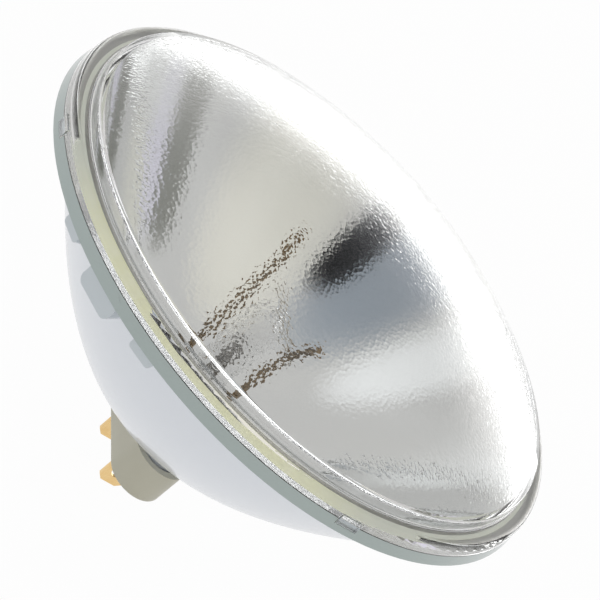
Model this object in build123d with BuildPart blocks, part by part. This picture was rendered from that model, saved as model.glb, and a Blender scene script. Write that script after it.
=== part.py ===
from build123d import *
import os
from math import cos, hypot, radians, sin, sqrt

# Sealed-beam spotlight lamp. Millimetres. +Z is the way the beam goes. The origin is the
# centre of the flat ring on the back of the rim, the face a fixture's ring holds. X runs from
# one contact blade to the other.
os.makedirs("parts", exist_ok=True)

# Rim. The nominal size of the lamp is its rim diameter: 64 eighths of an inch.
rim_diameter = 203.2
rim_height = 4.05
rim_draft = 0.7
seat_width = 6.15

# Bowl. The outside and the inside are both paraboloids about Z. The focus sets the depth.
mirror_focus = 30.2
floor_wall = 4.3
mouth_wall = 2.15

# Lens. A spherical dome with a flat flange round it.
dome_sphere = 200.0
dome_apex = 36.0
dome_wall = 3.8
flange_width = 7.4
flange_height = 4.15
step_draft = 0.3
flange_corner = 2.4
flange_draft = 0.4
step_round = 0.9
mouth_inset = 10.0
throat_draft = 0.8

# Bond between lens and reflector, and the two films.
joint_film = 0.2
bond_width = 1.4
bond_inset = 4.3
groove_depth = 0.6
mirror_skin = 0.3
mirror_gap = 0.2

# Locating features on the rim.
tab_count = 4
tab_azimuth = 2.3
tab_length = 7.8
tab_drop = 1.8
tab_radial = 1.2
tab_proud = 0.3
tab_clearance = 0.15
lug_azimuth = -54.6
lug_spread = 12.3
lug_big_length = 15.5
lug_big_height = 6.0
lug_small_length = 9.0
lug_small_height = 2.9
lug_big_corner = 2.6
lug_small_corner = 1.3
lug_radial = 11.0
lug_inset = 0.6
lug_root = 3.0

# Terminals on the back of the bowl.
post_inset = 11.0
pad_radius = 7.4
pad_proud = 1.9
pad_root = 1.0
post_hole = 3.0
ferrule_radius = 5.6
ferrule_wall = 0.7
ferrule_round = 0.6
ferrule_embed = 1.0
ferrule_length = 5.3
exhaust_radius = 2.6
exhaust_length = 4.3

# Ceramic base, its contacts and the cement that holds it.
base_length = 58.0
base_width = 21.0
base_lap = 1.8
base_stand = 12.2
base_wall = 2.5
base_roof = 3.0
base_round = 1.0
base_clearance = 0.3
blade_offset = 10.5
blade_width = 9.4
blade_thickness = 1.2
blade_reach = 14.1
blade_chamfer = 1.8
blade_hole = 4.4
blade_hole_inset = 5.6
slot_clearance = 0.15
foot_length = 8.4
strap_thickness = 0.8
strap_width = 7.0
cement_half_length = 9.0

# Rods and stay inside the bowl. The two rods lean and splay by different amounts.
rod_radius = 1.2
rod_straight = 2.0
rod_ahead = 8.5
knee_a_offset = 23.3
knee_b_offset = 21.4
rod_bend = 4.0
tail_a_run = 4.2
tail_a_rise = 11.0
tail_b_run = 9.6
tail_b_rise = 13.4
stay_radius = 0.6
stay_ahead = 6.6
stay_reach = 15.5
stay_overrun = 2.0

# Burner.
tube_radius = 6.6
tube_wall = 1.2
tube_length = 31.0
tube_behind = 5.55
tube_shoulder = 3.0
tube_dome = 5.0
tip_radius = 1.2
tip_length = 3.2
tip_root = 1.0
tip_round = 0.7
pinch_stand = 5.0
pinch_width = 13.4
pinch_thickness = 4.2
pinch_round = 1.2
foil_width = 3.0
foil_thickness = 0.12
foil_inset_back = 2.0
foil_inset_front = 3.5
lead_offset = 3.4
lead_overlap = 1.5
lead_flat = 0.85
outer_lead_radius = 0.55
outer_lead_drop = 1.9
outer_lead_rise = 2.0
outer_lead_bend = 1.2
inner_lead_radius = 0.4
inner_lead_bend = 0.45
coil_radius = 2.2
coil_pitch = 1.3
coil_turns = 11
coil_wire = 0.3
coil_clear = 2.1
coil_tail = 1.0

# Derived sizes. Depths are counted back from the rim's rear plane, heights forward from it.
rim_radius = rim_diameter / 2
bowl_radius = rim_radius - seat_width
mirror_mouth = bowl_radius - mouth_wall
mirror_depth = mirror_mouth ** 2 / (4 * mirror_focus) - rim_height
bowl_depth = mirror_depth + floor_wall
lens_back = rim_height + joint_film
lens_rim = rim_radius - rim_draft
flange_front = lens_back + flange_height
dome_centre = dome_apex - dome_sphere
dome_edge = rim_radius - flange_width
step_edge = dome_edge + step_draft
lens_mouth = rim_radius - mouth_inset
lens_throat = lens_mouth - throat_draft
tab_inner = lens_rim - tab_radial
notch_inner = tab_inner - tab_clearance
bond_outer = lens_rim - bond_inset
bond_inner = bond_outer - bond_width
post_offset = base_length / 2 - post_inset
pad_face = bowl_depth + pad_proud
ferrule_back = pad_face + ferrule_length
strap_back = ferrule_back + strap_thickness
exhaust_back = bowl_depth + exhaust_length
base_front = bowl_depth - base_lap
base_back = bowl_depth + base_stand
cavity_floor = base_back - base_roof
cavity_half = base_width / 2 - base_wall
cement_corner = hypot(cement_half_length, cavity_half)
blade_tip = base_back + blade_reach
blade_inner = blade_offset - blade_thickness / 2
coil_length = coil_pitch * coil_turns
coil_start = mirror_focus - mirror_depth - coil_length / 2
pinch_back = mirror_depth - pinch_stand
tube_back = tube_behind - coil_start
tube_front = tube_back - tube_length
tip_start = tube_front - tube_dome + tip_root
foil_bottom = foil_inset_back - pinch_back
foil_top = -tube_back - foil_inset_front
foil_centre = (foil_top + foil_bottom) / 2
rod_foot = ferrule_back - ferrule_wall
rod_lean_start = mirror_depth - rod_straight
rod_knee = tube_front - rod_ahead
outer_lead_meet = pinch_back - outer_lead_rise
stay_depth = tube_front - stay_ahead
stay_length = stay_reach + knee_b_offset + stay_overrun


def bowl_z(radius):
    return bowl_depth * (radius / bowl_radius) ** 2 - bowl_depth


def mirror_z(radius):
    return radius ** 2 / (4 * mirror_focus) - mirror_depth


def dome_z(radius, wall=0.0):
    return dome_centre + sqrt((dome_sphere - wall) ** 2 - radius ** 2)


def parabola(height, end, drop=0.0):
    return [(0, height(0) - drop), (end / 2, height(0) - drop), (end, height(end) - drop)]


def cap_arc(radius, rim, rise):
    sphere = (radius ** 2 + rise ** 2) / (2 * abs(rise))
    way = 1 if rise > 0 else -1
    middle = rim + rise - way * sphere + way * sqrt(sphere ** 2 - radius ** 2 / 4)
    return (radius, rim), (radius / 2, middle), (0, rim + rise)


# Reflector: one pressing of glass. Rim, bowl, terminal pads, locating lugs and exhaust tip.
with BuildPart() as reflector:
    with BuildSketch(Plane.XZ):
        with BuildLine():
            outside = Bezier(*parabola(bowl_z, bowl_radius))
            seat = Line(outside @ 1, (rim_radius, 0))
            side = Line(seat @ 1, (lens_rim, rim_height))
            face = Line(side @ 1, (mirror_mouth, rim_height))
            inside = Bezier(*reversed(parabola(mirror_z, mirror_mouth)))
            Line(inside @ 1, outside @ 0)
        make_face()
    revolve(axis=Axis.Z)
    # Terminal pads stand proud of the bowl as far as their flat faces.
    with BuildSketch(Plane.XY.offset(-pad_face)):
        with Locations((post_offset, 0), (-post_offset, 0)):
            Circle(pad_radius)
    extrude(amount=pad_face + bowl_z(post_offset + pad_radius) + pad_root)
    with BuildSketch(Plane.XY.offset(-exhaust_back)):
        Circle(exhaust_radius)
    extrude(amount=exhaust_length + floor_wall / 2)
    # Locating lugs on the back of the rim: one long between two short.
    for turn, length, height, corner in (
        (lug_azimuth, lug_big_length, lug_big_height, lug_big_corner),
        (lug_azimuth - lug_spread, lug_small_length, lug_small_height, lug_small_corner),
        (lug_azimuth + lug_spread, lug_small_length, lug_small_height, lug_small_corner),
    ):
        outward = (cos(radians(turn)), sin(radians(turn)), 0)
        along = (-sin(radians(turn)), cos(radians(turn)), 0)
        lug_plane = Plane(origin=(0, 0, 0), x_dir=along, z_dir=outward)
        with BuildSketch(lug_plane.offset(rim_radius - lug_inset)):
            with Locations((0, (lug_root - height) / 2)):
                RectangleRounded(length, height + lug_root, corner)
        extrude(amount=-lug_radial)
    # What the pads and lugs put inside the mirror is cut away again, down to the same paraboloid.
    with BuildSketch(Plane.XZ):
        with BuildLine():
            floor = Bezier(*parabola(mirror_z, mirror_mouth))
            Polyline(floor @ 1, (0, rim_height), (0, -mirror_depth))
        make_face()
    revolve(axis=Axis.Z, mode=Mode.SUBTRACT)
    # Holes for the rods and ring grooves that take the ferrule mouths.
    with BuildSketch(Plane.XY.offset(-pad_face)):
        with Locations((post_offset, 0), (-post_offset, 0)):
            Circle(post_hole)
    extrude(amount=pad_face, mode=Mode.SUBTRACT)
    with BuildSketch(Plane.XY.offset(-pad_face)):
        with Locations((post_offset, 0), (-post_offset, 0)):
            Circle(ferrule_radius)
            Circle(ferrule_radius - ferrule_wall, mode=Mode.SUBTRACT)
    extrude(amount=ferrule_embed, mode=Mode.SUBTRACT)
    # Groove for the bond and notches for the lens tabs.
    with BuildSketch(Plane.XY.offset(rim_height)):
        Circle(bond_outer)
        Circle(bond_inner, mode=Mode.SUBTRACT)
    extrude(amount=-groove_depth, mode=Mode.SUBTRACT)
    with BuildSketch(Plane.XY.offset(rim_height - tab_drop - tab_clearance)):
        with PolarLocations(rim_radius, tab_count, start_angle=tab_azimuth):
            Rectangle(2 * (rim_radius - notch_inner), tab_length + 2 * tab_clearance)
    extrude(amount=tab_drop + tab_clearance, mode=Mode.SUBTRACT)
reflector.part.label = "reflector"
export_step(reflector.part, "parts/reflector.step")

# Mirror film: the bright aluminium coat on the inside of the bowl.
rim_slope = mirror_mouth / (2 * mirror_focus)
film_lean = mirror_skin / sqrt(1 + rim_slope ** 2)
film_mouth = mirror_mouth - rim_slope * film_lean
film_floor = mirror_gap + mirror_skin - mirror_depth
film_rim = rim_height + mirror_gap + film_lean

with BuildPart() as mirror_film:
    with BuildSketch(Plane.XZ):
        with BuildLine():
            back = Bezier(*parabola(mirror_z, mirror_mouth, -mirror_gap))
            front = Bezier((0, film_floor), (film_mouth / 2, film_floor), (film_mouth, film_rim))
            Line(back @ 0, front @ 0)
            Line(back @ 1, front @ 1)
        make_face()
    revolve(axis=Axis.Z)
    with BuildSketch(Plane.XY.offset(-mirror_depth)):
        with Locations((post_offset, 0), (-post_offset, 0)):
            Circle(post_hole)
    extrude(amount=mirror_depth / 2, mode=Mode.SUBTRACT)
    with BuildSketch(Plane.XY.offset(rim_height)):
        Circle(rim_radius)
    extrude(amount=film_rim, mode=Mode.SUBTRACT)
mirror_film.part.label = "mirror_film"
export_step(mirror_film.part, "parts/mirror_film.step")

# Bond: the ring of adhesive that joins the two glass pressings.
with BuildPart() as bond:
    with BuildSketch(Plane.XY.offset(rim_height - groove_depth)):
        Circle(bond_outer)
        Circle(bond_inner, mode=Mode.SUBTRACT)
    extrude(amount=groove_depth + joint_film)
bond.part.label = "bond"
export_step(bond.part, "parts/bond.step")

# Lens: a pressed dome, the step at its foot, the flange and the tabs that key it to the bowl.
with BuildPart() as lens:
    with BuildSketch(Plane.XZ) as section:
        with BuildLine():
            dome = ThreePointArc((0, dome_apex), (dome_edge / 2, dome_z(dome_edge / 2)), (dome_edge, dome_z(dome_edge)))
            step = Line(dome @ 1, (step_edge, flange_front))
            front = Line(step @ 1, (lens_rim - flange_draft, flange_front))
            side = Line(front @ 1, (lens_rim, lens_back))
            back = Line(side @ 1, (lens_mouth, lens_back))
            throat = Line(back @ 1, (lens_throat, dome_z(lens_throat, dome_wall)))
            half = lens_throat / 2
            vault = ThreePointArc(throat @ 1, (half, dome_z(half, dome_wall)), (0, dome_apex - dome_wall))
            Line(vault @ 1, dome @ 0)
        make_face()
        corner = section.vertices().sort_by_distance((lens_rim - flange_draft, flange_front))[0]
        fillet(corner, flange_corner)
        foot = section.vertices().sort_by_distance((step_edge, flange_front))[0]
        fillet(foot, step_round)
        brow = section.vertices().sort_by_distance((dome_edge, dome_z(dome_edge)))[0]
        fillet(brow, step_round)
    revolve(axis=Axis.Z)
    with BuildSketch(Plane.XY.offset(rim_height - tab_drop)):
        with PolarLocations(tab_inner + (tab_radial + tab_proud) / 2, tab_count, start_angle=tab_azimuth):
            Rectangle(tab_radial + tab_proud, tab_length)
    extrude(amount=tab_drop + flange_height / 2)
lens.part.label = "lens"
export_step(lens.part, "parts/lens.step")

# Ferrules: metal cups let into the glass pads, each with a rod standing in it.
for name, x in (("ferrule_a", -post_offset), ("ferrule_b", post_offset)):
    with BuildPart() as ferrule:
        with BuildSketch(Plane.XY.offset(-ferrule_back)):
            with Locations((x, 0)):
                Circle(ferrule_radius)
        extrude(amount=ferrule_back - pad_face + ferrule_embed)
        fillet(ferrule.edges().group_by(Axis.Z)[0], ferrule_round)
        with BuildSketch(Plane.XY.offset(-ferrule_back + ferrule_wall)):
            with Locations((x, 0)):
                Circle(ferrule_radius - ferrule_wall)
        extrude(amount=ferrule_back, mode=Mode.SUBTRACT)
    ferrule.part.label = name
    export_step(ferrule.part, "parts/" + name + ".step")

# Support rods: they stand in the ferrules, lean apart and splay at the front.
rods = {}
for name, side, knee, run, rise in (
    ("rod_a", -1, knee_a_offset, tail_a_run, tail_a_rise),
    ("rod_b", 1, knee_b_offset, tail_b_run, tail_b_rise),
):
    with BuildPart() as rod:
        with BuildLine(Plane.XZ) as rod_path:
            FilletPolyline(
                (side * post_offset, -rod_foot),
                (side * post_offset, -rod_lean_start),
                (side * knee, -rod_knee),
                (side * (knee + run), rise - rod_knee),
                radius=rod_bend,
            )
        with BuildSketch(Plane(origin=rod_path.line @ 0, z_dir=rod_path.line % 0)):
            Circle(rod_radius)
        sweep(path=rod_path.line)
    rod.part.label = name
    rods[name] = rod.part
    export_step(rod.part, "parts/" + name + ".step")

# Filament: one coil on the axis, its middle at the focus of the mirror.
with BuildPart() as filament:
    with BuildLine(Plane.XY.offset(coil_start)) as coil:
        Helix(pitch=coil_pitch, height=coil_length, radius=coil_radius)
    with BuildSketch(Plane(origin=coil.line @ 0, z_dir=coil.line % 0)):
        Circle(coil_wire)
    sweep(path=coil.line, is_frenet=True)
filament.part.label = "filament"
export_step(filament.part, "parts/filament.step")

# Foils: thin strips in the pinch, where the quartz seals on to metal.
foils = {}
for name, x in (("foil_a", -lead_offset), ("foil_b", lead_offset)):
    with BuildPart() as foil:
        with Locations((x, 0, foil_centre)):
            Box(foil_width, foil_thickness, foil_top - foil_bottom)
    foil.part.label = name
    foils[name] = foil.part
    export_step(foil.part, "parts/" + name + ".step")

# Leads are pressed flat where they lie on their foil. The outer ones run out to the rods.
leads = {}
outer_plane = Plane.XZ.offset(-foil_thickness / 2 - outer_lead_radius * lead_flat)
inner_plane = Plane.XZ.offset(-foil_thickness / 2 - inner_lead_radius * lead_flat)
for name, side, rod_name, foil_name in (
    ("outer_lead_a", -1, "rod_a", "foil_a"),
    ("outer_lead_b", 1, "rod_b", "foil_b"),
):
    with BuildPart() as lead:
        with BuildLine(outer_plane) as lead_path:
            FilletPolyline(
                (side * lead_offset, foil_bottom + lead_overlap),
                (side * lead_offset, -pinch_back - outer_lead_drop),
                (side * post_offset, -outer_lead_meet),
                radius=outer_lead_bend,
            )
        with BuildSketch(Plane(origin=lead_path.line @ 0, z_dir=lead_path.line % 0)):
            Circle(outer_lead_radius)
        sweep(path=lead_path.line)
        add(rods[rod_name], mode=Mode.SUBTRACT)
        add(foils[foil_name], mode=Mode.SUBTRACT)
    lead.part.label = name
    leads[name] = lead.part
    export_step(lead.part, "parts/" + name + ".step")

# Inner leads: the long one passes beside the coil to its front end, the short one meets its back.
lead_aside = foil_thickness / 2 + inner_lead_radius * lead_flat
lead_over = sqrt((coil_wire + inner_lead_radius) ** 2 - lead_aside ** 2)
long_top = coil_start + coil_length + lead_over
inner_runs = {
    "inner_lead_a": (
        (-lead_offset, foil_top - lead_overlap),
        (-coil_radius - coil_clear, -tube_back + tube_shoulder),
        (-coil_radius - coil_clear, long_top),
        (coil_radius + inner_lead_radius, long_top),
    ),
    "inner_lead_b": (
        (lead_offset, foil_top - lead_overlap),
        (lead_offset, -tube_back + tube_shoulder),
        (coil_radius, coil_start - coil_wire - coil_tail),
        (coil_radius, coil_start - coil_wire),
    ),
}
for name, run in inner_runs.items():
    with BuildPart() as lead:
        with BuildLine(inner_plane) as lead_path:
            FilletPolyline(*run, radius=inner_lead_bend)
        with BuildSketch(Plane(origin=lead_path.line @ 0, z_dir=lead_path.line % 0)):
            Circle(inner_lead_radius)
        sweep(path=lead_path.line)
        for held in foils.values():
            add(held, mode=Mode.SUBTRACT)
    lead.part.label = name
    leads[name] = lead.part
    export_step(lead.part, "parts/" + name + ".step")

# Burner: a quartz tube closed by a flat pinch at the back and a sealed tip at the front.
with BuildPart() as burner:
    with BuildSketch(Plane.YZ):
        with BuildLine():
            front = ThreePointArc(*cap_arc(tube_radius, -tube_front, tube_dome))
            back = ThreePointArc(*cap_arc(tube_radius, -tube_back, -tube_shoulder))
            Line(front @ 0, back @ 0)
            Line(front @ 1, back @ 1)
        make_face()
    revolve(axis=Axis.Z)
    with BuildSketch(Plane.XY.offset(-pinch_back)):
        RectangleRounded(pinch_width, pinch_thickness, pinch_round)
    extrude(amount=pinch_back - tube_back)
    with BuildSketch(Plane.XY.offset(-tip_start)):
        Circle(tip_radius)
    extrude(amount=tip_length)
    fillet(burner.edges().group_by(Axis.Z)[-1], tip_round)
    cavity = tube_radius - tube_wall
    with BuildSketch(Plane.YZ):
        with BuildLine():
            front = ThreePointArc(*cap_arc(cavity, -tube_front, tube_dome - tube_wall))
            back = ThreePointArc(*cap_arc(cavity, -tube_back, tube_wall - tube_shoulder))
            Line(front @ 0, back @ 0)
            Line(front @ 1, back @ 1)
        make_face()
    revolve(axis=Axis.Z, mode=Mode.SUBTRACT)
    for held in (*foils.values(), *leads.values()):
        add(held, mode=Mode.SUBTRACT)
burner.part.label = "burner"
export_step(burner.part, "parts/burner.step")

# Stay: a straight wire across the front, against the burner's tip and one rod.
with BuildPart() as stay:
    with BuildSketch(Plane.YZ.offset(-stay_reach)):
        with Locations((rod_radius + stay_radius, -stay_depth)):
            Circle(stay_radius)
    extrude(amount=stay_length)
stay.part.label = "stay_wire"
export_step(stay.part, "parts/stay_wire.step")

# Contacts: a blade through the ceramic with a foot inside it, and a strap from foot to ferrule.
for name, side in (("blade_a", -1), ("blade_b", 1)):
    with BuildPart() as blade:
        with BuildSketch(Plane.YZ.offset(side * blade_offset - blade_thickness / 2)) as leaf:
            with Locations((0, -(blade_tip + strap_back) / 2)):
                Rectangle(blade_width, blade_tip - strap_back)
            chamfer(leaf.vertices().group_by(Axis.Y)[0], blade_chamfer)
            with Locations((0, -blade_tip + blade_hole_inset)):
                Circle(blade_hole / 2, mode=Mode.SUBTRACT)
        extrude(amount=blade_thickness)
        with Locations((side * (blade_inner + foot_length / 2), 0, -(cavity_floor + strap_back) / 2)):
            Box(foot_length, blade_width, cavity_floor - strap_back)
    blade.part.label = name
    export_step(blade.part, "parts/" + name + ".step")

for name, side in (("strap_a", -1), ("strap_b", 1)):
    with BuildPart() as strap:
        with BuildSketch(Plane.XY.offset(-strap_back)):
            with Locations((side * (blade_inner + post_offset) / 2, 0)):
                Rectangle(post_offset - blade_inner, strap_width)
            with Locations((side * post_offset, 0)):
                Circle(strap_width / 2)
        extrude(amount=strap_thickness)
    strap.part.label = name
    export_step(strap.part, "parts/" + name + ".step")

# Ceramic base: a hollow cap, its front edge relieved where the bowl dips into it.
with BuildPart() as base:
    with BuildSketch(Plane.XY.offset(-base_back)):
        SlotOverall(base_length, base_width)
    extrude(amount=base_back - base_front)
    fillet(base.edges().group_by(Axis.Z)[0], base_round)
    with BuildSketch(Plane.XY.offset(-cavity_floor)):
        SlotOverall(base_length - 2 * base_wall, base_width - 2 * base_wall)
    extrude(amount=cavity_floor, mode=Mode.SUBTRACT)
    with BuildSketch(Plane.XY.offset(-base_back)):
        with Locations((blade_offset, 0), (-blade_offset, 0)):
            Rectangle(blade_thickness + 2 * slot_clearance, blade_width + 2 * slot_clearance)
    extrude(amount=base_back - cavity_floor, mode=Mode.SUBTRACT)
    with BuildSketch(Plane.XZ):
        with BuildLine():
            relief = Bezier(*parabola(bowl_z, base_length, base_clearance))
            Polyline(relief @ 1, (0, 0), relief @ 0)
        make_face()
    revolve(axis=Axis.Z, mode=Mode.SUBTRACT)
base.part.label = "ceramic_base"
export_step(base.part, "parts/ceramic_base.step")

# Cement: it fills the middle of the cap, between the contacts, up to the back of the bowl.
with BuildPart() as cement:
    with BuildSketch(Plane.XY.offset(-cavity_floor)):
        Rectangle(2 * cement_half_length, 2 * cavity_half)
    extrude(amount=cavity_floor + bowl_z(cement_corner))
    add(reflector.part, mode=Mode.SUBTRACT)
cement.part.label = "base_cement"
export_step(cement.part, "parts/base_cement.step")
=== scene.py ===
# %% [markdown]
# A sealed-beam spotlight lamp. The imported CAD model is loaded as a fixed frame, and every piece of
# it is already there at its real size: two glass pressings, the burner inside and the ceramic cap
# with its two blades. What is left for Blender is the light, the camera and the finishes, and on a
# lamp of clear glass over a mirror those three make the whole picture.

# %% Load the frame
import bpy
import math
from mathutils import Matrix, Vector


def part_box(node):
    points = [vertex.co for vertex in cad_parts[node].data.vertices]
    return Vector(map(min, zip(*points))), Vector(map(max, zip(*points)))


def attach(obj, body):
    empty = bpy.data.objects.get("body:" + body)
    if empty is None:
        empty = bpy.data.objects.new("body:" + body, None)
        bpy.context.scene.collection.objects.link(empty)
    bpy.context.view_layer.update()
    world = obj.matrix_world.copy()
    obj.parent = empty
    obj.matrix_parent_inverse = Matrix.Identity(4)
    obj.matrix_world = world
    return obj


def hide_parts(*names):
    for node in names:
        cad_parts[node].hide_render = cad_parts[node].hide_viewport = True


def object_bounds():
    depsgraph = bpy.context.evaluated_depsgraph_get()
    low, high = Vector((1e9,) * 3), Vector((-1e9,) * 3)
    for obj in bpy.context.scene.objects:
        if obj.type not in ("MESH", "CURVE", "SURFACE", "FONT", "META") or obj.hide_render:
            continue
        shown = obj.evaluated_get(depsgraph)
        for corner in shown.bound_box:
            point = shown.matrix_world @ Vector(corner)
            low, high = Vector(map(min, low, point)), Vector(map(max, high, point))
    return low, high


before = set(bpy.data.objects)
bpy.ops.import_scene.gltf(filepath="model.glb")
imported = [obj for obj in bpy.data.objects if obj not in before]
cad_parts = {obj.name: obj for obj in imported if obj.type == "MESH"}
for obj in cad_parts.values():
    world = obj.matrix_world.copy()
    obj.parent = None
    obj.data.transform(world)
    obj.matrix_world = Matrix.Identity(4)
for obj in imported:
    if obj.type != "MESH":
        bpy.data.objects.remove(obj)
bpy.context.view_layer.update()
print("CAD nodes:", len(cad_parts))

# %% [markdown]
# Lengths in this file are written in millimetres, because that is how a lamp is measured, and
# turned to metres by one value. Colours are written as the sRGB hex numbers that a paint program
# shows, and one function turns them to the linear numbers that the shaders work with.

# %% Units and colours
MM = 0.001


def linear(code):
    channels = [int(code[i:i + 2], 16) / 255 for i in (1, 3, 5)]
    return [c / 12.92 if c <= 0.04045 else ((c + 0.055) / 1.055) ** 2.4 for c in channels] + [1.0]


print("mid grey is", round(linear("#808080")[0], 3), "in linear light")

# %% [markdown]
# The camera stands where the photographer stood: about 0.7 m from the lamp, well off its axis, with
# the lamp leaning in the frame. Its place comes from the three circles of the rim, which show as
# ellipses. A long lens, 132 mm on a 36 mm wide sensor, gives the flat view of a product picture.

# %% Camera
camera_place = Vector((520.8, -340.3, 315.9)) * MM
camera_right = Vector((0.0640, 0.7324, 0.6779))
camera_back = Vector((0.7435, -0.4882, 0.4572))
camera_up = camera_back.cross(camera_right)
camera_data = bpy.data.cameras.new("camera")
camera_data.lens = 132
camera_data.sensor_width = 36
camera_data.clip_start = 0.01
camera = bpy.data.objects.new("camera", camera_data)
bpy.context.scene.collection.objects.link(camera)
turn = Matrix((camera_right, camera_up, camera_back)).transposed()
camera.matrix_world = Matrix.Translation(camera_place) @ turn.to_4x4()
bpy.context.scene.camera = camera
print("camera is", round(camera_place.length, 3), "m from the lamp")

# %% [markdown]
# Every material and the world are built from nodes. One small function adds a node, sets what is
# given and makes its links, so that each finish below reads as a list of what it is made of. The
# others start a material, give the cosine of an angle and put a material on its pieces.


# %% Helpers
def add_node(tree, kind, settings=None, inputs=None):
    made = tree.nodes.new(kind)
    for name, value in (settings or {}).items():
        setattr(made, name, value)
    for name, value in (inputs or {}).items():
        if isinstance(value, bpy.types.NodeSocket):
            tree.links.new(value, made.inputs[name])
        else:
            made.inputs[name].default_value = value
    return made


def new_material(name):
    material = bpy.data.materials.new(name)
    material.use_nodes = True
    material.node_tree.nodes.clear()
    return material, material.node_tree


def cosine(degrees):
    return math.cos(math.radians(degrees))


def dress(material, *nodes):
    for name in nodes:
        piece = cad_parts[name]
        piece.data.materials.clear()
        piece.data.materials.append(material)
    print(material.name, "on", ", ".join(nodes))


# %% [markdown]
# The lamp was photographed in a white tent. A mirror has no look of its own and shows only what is
# round it, so the tent is drawn with care. Its map is in degrees: how far right of, and how far above,
# the way from the lamp back to the camera. That is how a photographer would tell where a lamp or a
# gap in the tent stands.

# %% Directions in the tent
world = bpy.data.worlds.new("white_tent")
bpy.context.scene.world = world
world.use_nodes = True
tent = world.node_tree
tent.nodes.clear()
direction = add_node(tent, "ShaderNodeTexCoord").outputs["Generated"]


def tent_direction(right, up):
    """The direction that is so many degrees right of and above the way back to the camera."""
    away = math.radians(math.hypot(right, up))
    turned = math.atan2(up, right)
    sideways = math.cos(turned) * camera_right + math.sin(turned) * camera_up
    return math.sin(away) * sideways + math.cos(away) * camera_back


def round_patch(right, up, inner, outer, highest):
    """A round patch: highest within the inner angle, and fading to 0 at the outer one."""
    aim = tent_direction(right, up)
    dot = add_node(tent, "ShaderNodeVectorMath", {"operation": "DOT_PRODUCT"}, {0: direction, 1: aim})
    return add_node(tent, "ShaderNodeMapRange", {"interpolation_type": "SMOOTHSTEP"}, {
        "Value": dot.outputs["Value"], "From Min": cosine(outer), "From Max": cosine(inner),
        "To Min": 0.0, "To Max": highest,
    }).outputs[0]


print("behind the lamp is", [round(part, 2) for part in tent_direction(180, 0)])

# %% [markdown]
# The walls are white, and each patch is laid over the ones before it. The black one is the dark gap
# that the mirror shows in the photograph, and the others are the greys and whites round it. A row
# gives the middle, the angles at which the patch is full and gone, and the colour.

# %% Colour of the tent
tent_colour = linear("#ffffff")
for right, up, inner, outer, colour in (
    (52, 40, 66, 84, "#d0cecc"),
    (88, 72, 10, 26, "#5c5c60"),
    (-41, -35, 16, 46, "#87918f"),
    (47, -2, 10, 34, "#ebe7dc"),
    (8, 30, 6, 24, "#98a0a9"),
    (-6, 62, 3, 17, "#ffffff"),
    (18, 16, 6, 9, "#000000"),
    (94, -22, 6, 11, "#7d7d76"),
    (106, -22, 3, 8, "#d9d5e2"),
):
    tent_colour = add_node(tent, "ShaderNodeMix", {"data_type": "RGBA"}, {
        "Factor": round_patch(right, up, inner, outer, 1.0), "A": tent_colour, "B": linear(colour),
    }).outputs["Result"]
print("tent drawn with", len(tent.nodes), "nodes")

# %% [markdown]
# Two walls are lit harder than the rest: the one behind the lamp, which the edge of the lens reflects,
# and the one on the left, which the flange catches. Only reflected and refracted rays meet that extra
# light. The light that falls straight on a dull surface keeps a strength of 1.

# %% Light of the tent
lit_walls = ((133, 66, 6, 37, 2.6), (-112, 20, 12, 34, 1.2))
tent_light = 1.0
for right, up, inner, outer, extra in lit_walls:
    tent_light = add_node(tent, "ShaderNodeMath", {"operation": "ADD"}, {
        0: round_patch(right, up, inner, outer, extra), 1: tent_light,
    }).outputs[0]
ray = add_node(tent, "ShaderNodeLightPath")
shiny = add_node(tent, "ShaderNodeMath", {"operation": "MAXIMUM"}, {
    0: ray.outputs["Is Glossy Ray"], 1: ray.outputs["Is Transmission Ray"],
})
tent_strength = add_node(tent, "ShaderNodeMix", {"data_type": "FLOAT"}, {
    "Factor": shiny.outputs[0], "A": 1.0, "B": tent_light,
})
print(len(lit_walls), "walls are lit harder, the first up to", 1 + lit_walls[0][4])

# %% [markdown]
# Rays that leave the camera and meet nothing see plain white, as the background of a product picture
# is. Every other ray sees the tent.

# %% World output
studio = add_node(tent, "ShaderNodeBackground", None, {
    "Color": tent_colour, "Strength": tent_strength.outputs[0],
})
plain = add_node(tent, "ShaderNodeBackground", None, {"Color": linear("#ffffff"), "Strength": 1.0})
seen = add_node(tent, "ShaderNodeMixShader", None, {
    0: ray.outputs["Is Camera Ray"], 1: studio.outputs[0], 2: plain.outputs[0],
})
add_node(tent, "ShaderNodeOutputWorld", None, {"Surface": seen.outputs[0]})
print("world has", len(tent.nodes), "nodes")

# %% [markdown]
# The floor is white paper, just under the blades. It shows white where it is seen straight or through
# the glass, and keeps a light shadow, because a part of it is an ordinary pale surface.

# %% Floor
floor_gap = 0.5 * MM
floor_side = 8000 * MM
floor_glow = 0.97
bpy.ops.object.select_all(action="DESELECT")
floor_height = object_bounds()[0][2] - floor_gap
bpy.ops.mesh.primitive_plane_add(size=floor_side, location=(0, 0, floor_height))
floor = bpy.context.object
floor.name = "floor"
floor_paper, tree = new_material("white_floor_paper")
paper = add_node(tree, "ShaderNodeBsdfDiffuse", None, {"Color": linear("#f2f2f2")})
glow = add_node(tree, "ShaderNodeEmission", None, {"Color": linear("#ffffff"), "Strength": 1.0})
ray = add_node(tree, "ShaderNodeLightPath")
either = add_node(tree, "ShaderNodeMath", {"operation": "MAXIMUM"}, {
    0: ray.outputs["Is Camera Ray"], 1: ray.outputs["Is Transmission Ray"],
})
any_ray = add_node(tree, "ShaderNodeMath", {"operation": "MAXIMUM"}, {
    0: either.outputs[0], 1: ray.outputs["Is Glossy Ray"],
})
share = add_node(tree, "ShaderNodeMath", {"operation": "MULTIPLY"}, {
    0: any_ray.outputs[0], 1: floor_glow,
})
sheet = add_node(tree, "ShaderNodeMixShader", None, {
    0: share.outputs[0], 1: paper.outputs[0], 2: glow.outputs[0],
})
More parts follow.
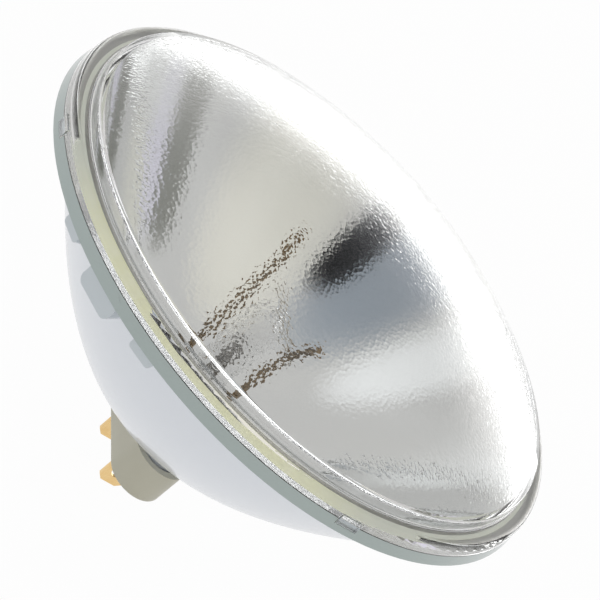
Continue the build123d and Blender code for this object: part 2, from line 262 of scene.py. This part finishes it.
add_node(tree, "ShaderNodeOutputMaterial", None, {"Surface": sheet.outputs[0]})
floor.data.materials.append(floor_paper)
print("floor at", round(floor_height / MM, 1), "mm")

# %% [markdown]
# The lens is pressed borosilicate glass. Its dome is stippled: a fine orange-peel, a millimetre or so
# across, that spreads the beam. It is too fine for the mesh, so it is a bump, and a bump needs a
# height at each place. The height here is made of two things. Gentle waves lie on both faces and
# make the rods look like rope. Low round caps lie on the front face and give the glints near the
# edge. Both stop short of the flange, where the real dome has a smooth clear border.

# %% Sizes of the stipple
wave_pitch = 1.15 * MM
wave_height = 0.024 * MM
cap_pitch = 1.2 * MM
cap_depth = 0.052 * MM
stipple_radius = 90.5 * MM
stipple_fade = 1.0 * MM
sphere_radius = 200.0 * MM
sphere_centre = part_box("lens")[1][2] - sphere_radius
between_faces = sphere_radius - 1 * MM
print("the dome's sphere is centred at", round(sphere_centre / MM, 1), "mm")

# %% [markdown]
# Two masks come first: how far a place is from the axis, for the clear border, and how far it is from
# the centre of the dome's sphere, which tells the front face from the back one.

# %% Where the stipple lies
lens_glass, tree = new_material("stippled_borosilicate_glass")
place = add_node(tree, "ShaderNodeTexCoord").outputs["Object"]
flat = add_node(tree, "ShaderNodeVectorMath", {"operation": "MULTIPLY"}, {0: place, 1: (1, 1, 0)})
radius = add_node(tree, "ShaderNodeVectorMath", {"operation": "LENGTH"}, {0: flat.outputs[0]})
inside = add_node(tree, "ShaderNodeMapRange", None, {
    "Value": radius.outputs["Value"], "From Min": stipple_radius,
    "From Max": stipple_radius + stipple_fade, "To Min": 1.0, "To Max": 0.0,
})
from_centre = add_node(tree, "ShaderNodeVectorMath", {"operation": "DISTANCE"}, {
    0: place, 1: (0, 0, sphere_centre),
})
front_face = add_node(tree, "ShaderNodeMath", {"operation": "GREATER_THAN"}, {
    0: from_centre.outputs["Value"], 1: between_faces,
})
print("stipple stops", round(stipple_radius / MM, 1), "mm from the axis")

# %% [markdown]
# A Voronoi texture gives the distance to the nearest of many scattered points. Its square, turned
# over, is a field of round caps that meet in sharp valleys. The valleys are what makes it sparkle.

# %% Lens glass
BOROSILICATE_IOR = 1.47
waves = add_node(tree, "ShaderNodeTexNoise", None, {
    "Vector": place, "Scale": 1 / wave_pitch, "Detail": 1.0, "Roughness": 0.4,
})
cells = add_node(tree, "ShaderNodeTexVoronoi", None, {
    "Vector": place, "Scale": 1 / cap_pitch, "Randomness": 1.0,
})
squared = add_node(tree, "ShaderNodeMath", {"operation": "POWER"}, {
    0: cells.outputs["Distance"], 1: 2.0,
})
valley_height = add_node(tree, "ShaderNodeMath", {"operation": "MULTIPLY"}, {
    0: front_face.outputs[0], 1: -cap_depth,
})
valleys = add_node(tree, "ShaderNodeMath", {"operation": "MULTIPLY"}, {
    0: squared.outputs[0], 1: valley_height.outputs[0],
})
wavy = add_node(tree, "ShaderNodeMath", {"operation": "MULTIPLY_ADD"}, {
    0: waves.outputs["Fac"], 1: wave_height, 2: valleys.outputs[0],
})
height = add_node(tree, "ShaderNodeMath", {"operation": "MULTIPLY"}, {
    0: wavy.outputs[0], 1: inside.outputs[0],
})
stipple = add_node(tree, "ShaderNodeBump", None, {
    "Height": height.outputs[0], "Distance": 1.0, "Strength": 1.0,
})
glass = add_node(tree, "ShaderNodeBsdfPrincipled", None, {
    "Base Color": linear("#fcfdfd"), "Roughness": 0.0, "IOR": BOROSILICATE_IOR,
    "Transmission Weight": 1.0, "Normal": stipple.outputs[0],
})
add_node(tree, "ShaderNodeOutputMaterial", None, {"Surface": glass.outputs[0]})
dress(lens_glass, "lens")

# %% [markdown]
# The bowl is the same glass, silvered on the inside. Seen from behind it is neither clear nor a
# plain mirror: the film shows through glass with a soft, milky sheen. Clear glass over a mirror would
# be truer, but its rim renders nearly black, so the bowl is an opaque satin surface here. Its rim, its
# lugs and its front face differ in tone, and the place on the piece tells them apart. The steps below
# each give a share of 0 or 1, with a short fade.

# %% Parts of the bowl
bowl_glass, tree = new_material("silvered_pressed_glass")
place = add_node(tree, "ShaderNodeTexCoord").outputs["Object"]
flat = add_node(tree, "ShaderNodeVectorMath", {"operation": "MULTIPLY"}, {0: place, 1: (1, 1, 0)})
radius = add_node(tree, "ShaderNodeVectorMath", {"operation": "LENGTH"}, {0: flat.outputs[0]})
depth = add_node(tree, "ShaderNodeSeparateXYZ", None, {0: place}).outputs["Z"]
beyond = {}
for part, measure, start, end in (
    ("lugs", radius.outputs["Value"], 96.6, 96.9),
    ("shaded_lip", radius.outputs["Value"], 99.9, 100.2),
    ("edge", radius.outputs["Value"], 100.6, 100.8),
    ("band", depth, -0.4, -0.2),
    ("face", depth, 3.95, 4.0),
):
    beyond[part] = add_node(tree, "ShaderNodeMapRange", None, {
        "Value": measure, "From Min": start * MM, "From Max": end * MM,
    }).outputs[0]
beyond["rim"] = add_node(tree, "ShaderNodeMath", {"operation": "MULTIPLY"}, {
    0: beyond["edge"], 1: beyond["band"],
}).outputs[0]
print("the bowl's tones part at", ", ".join(beyond))

# %% [markdown]
# The tones are laid over each other: the silvered bowl with its lugs, then the grey-green rim, then
# the front face, which is pale under the flange. Its outer edge is painted nearly black, a painted
# shadow for the shade in the thin joint between the two pressings. A little metal and a clear
# coat make it shine like film seen through glass.

# %% Bowl glass
under_tint = add_node(tree, "ShaderNodeMix", {"data_type": "RGBA"}, {
    "Factor": beyond["lugs"], "A": linear("#dfe4ec"), "B": linear("#c8d0d5"),
})
side_tint = add_node(tree, "ShaderNodeMix", {"data_type": "RGBA"}, {
    "Factor": beyond["rim"], "A": under_tint.outputs["Result"], "B": linear("#aab6b4"),
})
# Painted shade: the front face turns nearly black beyond 100.2 mm from the axis, for the shadow in the
# joint under the lens flange.
face_with_painted_lip_shade = add_node(tree, "ShaderNodeMix", {"data_type": "RGBA"}, {
    "Factor": beyond["shaded_lip"], "A": linear("#dcdbd3"), "B": linear("#2b2925"),
})
face_tint = add_node(tree, "ShaderNodeMix", {"data_type": "RGBA"}, {
    "Factor": beyond["face"], "A": side_tint.outputs["Result"], "B": face_with_painted_lip_shade.outputs["Result"],
})
silvered = add_node(tree, "ShaderNodeBsdfPrincipled", None, {
    "Base Color": face_tint.outputs["Result"], "Metallic": 0.35, "Roughness": 0.32,
    "IOR": BOROSILICATE_IOR, "Coat Weight": 0.6, "Coat Roughness": 0.08,
})
add_node(tree, "ShaderNodeOutputMaterial", None, {"Surface": silvered.outputs[0]})
dress(bowl_glass, "reflector")

# %% [markdown]
# The mirror is aluminium, evaporated on to the glass in a vacuum. It is bright, but a shade softer
# than polished metal, so its roughness isn't zero.

# %% Mirror film
mirror, tree = new_material("evaporated_aluminium")
film = add_node(tree, "ShaderNodeBsdfPrincipled", None, {
    "Base Color": linear("#eceded"), "Metallic": 1.0, "Roughness": 0.05,
})
add_node(tree, "ShaderNodeOutputMaterial", None, {"Surface": film.outputs[0]})
dress(mirror, "mirror_film")

# %% [markdown]
# The bond is a ring of cured adhesive between the two pressings. In the photograph it shows through
# the flange as a pale yellow stripe on the near side, and elsewhere the joint is a pale grey-green. So
# the yellow is strongest towards one side and fades round the ring. The faint glow stands for the
# light that real glass lets in from the side, which the opaque bowl here keeps out.

# %% Bond
adhesive_glow = 0.3
mottle_size = 6 * MM
bond_radius = 96 * MM
yellow_side = math.radians(-36)
full_yellow = 20
no_yellow = 46
yellow_aim = Vector((math.cos(yellow_side), math.sin(yellow_side), 0)) / bond_radius
adhesive, tree = new_material("cured_adhesive")
place = add_node(tree, "ShaderNodeTexCoord").outputs["Object"]
mottle = add_node(tree, "ShaderNodeTexNoise", None, {
    "Vector": place, "Scale": 1 / mottle_size, "Detail": 2.0,
})
towards = add_node(tree, "ShaderNodeVectorMath", {"operation": "DOT_PRODUCT"}, {
    0: place, 1: yellow_aim,
})
yellow_share = add_node(tree, "ShaderNodeMapRange", {"interpolation_type": "SMOOTHSTEP"}, {
    "Value": towards.outputs["Value"], "From Min": cosine(no_yellow), "From Max": cosine(full_yellow),
})
yellow = add_node(tree, "ShaderNodeMix", {"data_type": "RGBA"}, {
    "Factor": mottle.outputs["Fac"], "A": linear("#f2f3c8"), "B": linear("#fcfce4"),
})
tint = add_node(tree, "ShaderNodeMix", {"data_type": "RGBA"}, {
    "Factor": yellow_share.outputs[0], "A": linear("#dfe2d6"), "B": yellow.outputs["Result"],
})
cured = add_node(tree, "ShaderNodeBsdfPrincipled", None, {
    "Base Color": tint.outputs["Result"], "Roughness": 0.55,
    "Emission Color": tint.outputs["Result"], "Emission Strength": adhesive_glow,
})
add_node(tree, "ShaderNodeOutputMaterial", None, {"Surface": cured.outputs[0]})
print("adhesive is yellow within", full_yellow, "degrees of", round(math.degrees(yellow_side)))

# %% [markdown]
# Adhesive wets the glass that it joins, so there is no air between them, and light that is inside the
# glass meets the adhesive's own colour. A surface that only touches the glass can't show that. The
# ring is made again here, a few hundredths of a millimetre thicker, so that it reaches into the glass
# on both sides. Its section is a small flat plane, spun once round the axis.

# %% Bond ring
wetting = 0.04 * MM
weld = 0.001 * MM
ring_steps = 240
low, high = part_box("bond")
ring_outer = high[0]
ring_width = 1.4 * MM
ring_low = low[2] - wetting
ring_high = high[2] + wetting
bpy.ops.object.select_all(action="DESELECT")
bpy.ops.mesh.primitive_plane_add(size=1, location=(0, 0, 0))
ring = bpy.context.object
ring.name = "bond_ring"
bpy.ops.object.mode_set(mode="EDIT")
bpy.ops.mesh.select_all(action="SELECT")
bpy.ops.transform.resize(value=(ring_width, ring_high - ring_low, 1))
bpy.ops.transform.rotate(value=math.radians(90), orient_axis="X", center_override=(0, 0, 0))
bpy.ops.transform.translate(value=(ring_outer - ring_width / 2, 0, (ring_low + ring_high) / 2))
bpy.ops.mesh.delete(type="ONLY_FACE")
bpy.ops.mesh.select_all(action="SELECT")
bpy.ops.mesh.spin(steps=ring_steps, angle=math.radians(360), center=(0, 0, 0), axis=(0, 0, 1))
bpy.ops.mesh.select_all(action="SELECT")
bpy.ops.mesh.remove_doubles(threshold=weld)
bpy.ops.mesh.normals_make_consistent(inside=False)
bpy.ops.object.mode_set(mode="OBJECT")
bpy.ops.object.shade_smooth_by_angle(angle=math.radians(30))
ring.data.materials.append(adhesive)
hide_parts("bond")
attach(ring, "root")
print("bond ring has", len(ring.data.polygons), "faces")

# %% [markdown]
# The cap is steatite, a dense technical ceramic, pressed dry and fired without a glaze. It is a warm
# grey with a satin skin, and the powder it was pressed from leaves a very fine grain.

# %% Ceramic
grain_size = 0.7 * MM
grain_depth = 0.03 * MM
cloud_size = 14 * MM
STEATITE_IOR = 1.56
steatite, tree = new_material("fired_steatite")
place = add_node(tree, "ShaderNodeTexCoord").outputs["Object"]
grain = add_node(tree, "ShaderNodeTexNoise", None, {
    "Vector": place, "Scale": 1 / grain_size, "Detail": 3.0,
})
cloud = add_node(tree, "ShaderNodeTexNoise", None, {
    "Vector": place, "Scale": 1 / cloud_size, "Detail": 2.0,
})
tint = add_node(tree, "ShaderNodeMix", {"data_type": "RGBA"}, {
    "Factor": cloud.outputs["Fac"], "A": linear("#c4c1ae"), "B": linear("#d4d1c0"),
})
skin = add_node(tree, "ShaderNodeBump", None, {
    "Height": grain.outputs["Fac"], "Distance": grain_depth, "Strength": 0.5,
})
fired = add_node(tree, "ShaderNodeBsdfPrincipled", None, {
    "Base Color": tint.outputs["Result"], "Roughness": 0.42, "IOR": STEATITE_IOR,
    "Normal": skin.outputs[0],
})
add_node(tree, "ShaderNodeOutputMaterial", None, {"Surface": fired.outputs[0]})
dress(steatite, "ceramic_base")

# %% [markdown]
# A mineral cement holds the cap to the bowl. It is gritty and dull, and only a little of it shows.

# %% Cement
grit_size = 0.9 * MM
grit_depth = 0.15 * MM
cement, tree = new_material("cured_mineral_cement")
place = add_node(tree, "ShaderNodeTexCoord").outputs["Object"]
grit = add_node(tree, "ShaderNodeTexNoise", None, {
    "Vector": place, "Scale": 1 / grit_size, "Detail": 4.0,
})
tint = add_node(tree, "ShaderNodeMix", {"data_type": "RGBA"}, {
    "Factor": grit.outputs["Fac"], "A": linear("#9a958a"), "B": linear("#c8c4b8"),
})
rough = add_node(tree, "ShaderNodeBump", None, {
    "Height": grit.outputs["Fac"], "Distance": grit_depth, "Strength": 0.8,
})
set_hard = add_node(tree, "ShaderNodeBsdfPrincipled", None, {
    "Base Color": tint.outputs["Result"], "Roughness": 0.85, "Normal": rough.outputs[0],
})
add_node(tree, "ShaderNodeOutputMaterial", None, {"Surface": set_hard.outputs[0]})
dress(cement, "base_cement")

# %% [markdown]
# The blades are stamped brass strip. Brass darkens where it is handled and keeps fine lines from the
# rolling mill along its length, so its roughness is streaked and its colour isn't even.

# %% Brass
line_pitch = 0.35 * MM
line_squeeze = 0.06
stain_size = 4 * MM
brass, tree = new_material("stamped_brass")
place = add_node(tree, "ShaderNodeTexCoord").outputs["Object"]
stretch = add_node(tree, "ShaderNodeVectorMath", {"operation": "MULTIPLY"}, {
    0: place, 1: (1, 1, line_squeeze),
})
lines = add_node(tree, "ShaderNodeTexNoise", None, {
    "Vector": stretch.outputs[0], "Scale": 1 / line_pitch, "Detail": 2.0,
})
stain = add_node(tree, "ShaderNodeTexNoise", None, {
    "Vector": place, "Scale": 1 / stain_size, "Detail": 3.0,
})
tint = add_node(tree, "ShaderNodeMix", {"data_type": "RGBA"}, {
    "Factor": stain.outputs["Fac"], "A": linear("#f2d8a4"), "B": linear("#deb677"),
})
sheen = add_node(tree, "ShaderNodeMapRange", None, {
    "Value": lines.outputs["Fac"], "To Min": 0.18, "To Max": 0.42,
})
strip = add_node(tree, "ShaderNodeBsdfPrincipled", None, {
    "Base Color": tint.outputs["Result"], "Metallic": 1.0, "Roughness": sheen.outputs[0],
})
add_node(tree, "ShaderNodeOutputMaterial", None, {"Surface": strip.outputs[0]})
dress(brass, "blade_a", "blade_b")

# %% [markdown]
# The ferrules, the straps and the thin stay are iron with a nickel plate, slightly hazed by heat.

# %% Nickel plate
haze_size = 2.5 * MM
nickel, tree = new_material("nickel_plated_iron")
place = add_node(tree, "ShaderNodeTexCoord").outputs["Object"]
haze = add_node(tree, "ShaderNodeTexNoise", None, {
    "Vector": place, "Scale": 1 / haze_size, "Detail": 2.0,
})
sheen = add_node(tree, "ShaderNodeMapRange", None, {
    "Value": haze.outputs["Fac"], "To Min": 0.2, "To Max": 0.4,
})
plated = add_node(tree, "ShaderNodeBsdfPrincipled", None, {
    "Base Color": linear("#b9b3a8"), "Metallic": 1.0, "Roughness": sheen.outputs[0],
})
add_node(tree, "ShaderNodeOutputMaterial", None, {"Surface": plated.outputs[0]})
dress(nickel, "ferrule_a", "ferrule_b", "strap_a", "strap_b", "stay_wire")

# %% [markdown]
# The support rods went through the flame that sealed them, so they are brown with oxide and not
# bright. Seen through the stipple they look like rope.

# %% Rods
flake_size = 1.2 * MM
oxide, tree = new_material("oxidised_nickel_iron")
place = add_node(tree, "ShaderNodeTexCoord").outputs["Object"]
flakes = add_node(tree, "ShaderNodeTexNoise", None, {
    "Vector": place, "Scale": 1 / flake_size, "Detail": 3.0,
})
tint = add_node(tree, "ShaderNodeMix", {"data_type": "RGBA"}, {
    "Factor": flakes.outputs["Fac"], "A": linear("#6a5640"), "B": linear("#a58d68"),
})
flamed = add_node(tree, "ShaderNodeBsdfPrincipled", None, {
    "Base Color": tint.outputs["Result"], "Metallic": 0.9, "Roughness": 0.36,
})
add_node(tree, "ShaderNodeOutputMaterial", None, {"Surface": flamed.outputs[0]})
dress(oxide, "rod_a", "rod_b")

# %% [markdown]
# The burner is fused quartz. It is clear, but pressed and drawn by hand in a flame, so it has waves
# in it that catch the light.

# %% Quartz
QUARTZ_IOR = 1.458
ripple_length = 3 * MM
ripple_depth = 0.5 * MM
quartz, tree = new_material("fused_quartz")
place = add_node(tree, "ShaderNodeTexCoord").outputs["Object"]
ripples = add_node(tree, "ShaderNodeTexNoise", None, {
    "Vector": place, "Scale": 1 / ripple_length, "Detail": 1.0,
})
drawn = add_node(tree, "ShaderNodeBump", None, {
    "Height": ripples.outputs["Fac"], "Distance": ripple_depth, "Strength": 0.6,
})
fused = add_node(tree, "ShaderNodeBsdfPrincipled", None, {
    "Base Color": linear("#fafafa"), "Roughness": 0.0, "IOR": QUARTZ_IOR,
    "Transmission Weight": 1.0, "Normal": drawn.outputs[0],
})
add_node(tree, "ShaderNodeOutputMaterial", None, {"Surface": fused.outputs[0]})
dress(quartz, "burner")

# %% [markdown]
# The coil and its inner leads are drawn tungsten, which is a dull grey metal. The foils in the pinch
# and the leads that come out of it are molybdenum, which is paler.

# %% Filament, foils and leads
tungsten, tree = new_material("drawn_tungsten")
wire = add_node(tree, "ShaderNodeBsdfPrincipled", None, {
    "Base Color": linear("#9a958e"), "Metallic": 1.0, "Roughness": 0.42,
})
add_node(tree, "ShaderNodeOutputMaterial", None, {"Surface": wire.outputs[0]})
dress(tungsten, "filament", "inner_lead_a", "inner_lead_b")
molybdenum, tree = new_material("rolled_molybdenum")
foil = add_node(tree, "ShaderNodeBsdfPrincipled", None, {
    "Base Color": linear("#b8b6b2"), "Metallic": 1.0, "Roughness": 0.45,
})
add_node(tree, "ShaderNodeOutputMaterial", None, {"Surface": foil.outputs[0]})
dress(molybdenum, "foil_a", "foil_b", "outer_lead_a", "outer_lead_b")

# %% [markdown]
# Light takes many turns inside this lamp: in through the lens, off the mirror, through the quartz and
# out again. With the usual limits some of those paths stop early and turn black, so they are raised.

# %% Light paths and colour
scene = bpy.context.scene
scene.view_settings.view_transform = "Standard"
scene.cycles.max_bounces = 24
scene.cycles.glossy_bounces = 16
scene.cycles.transmission_bounces = 20
print("a light path may turn", scene.cycles.max_bounces, "times")
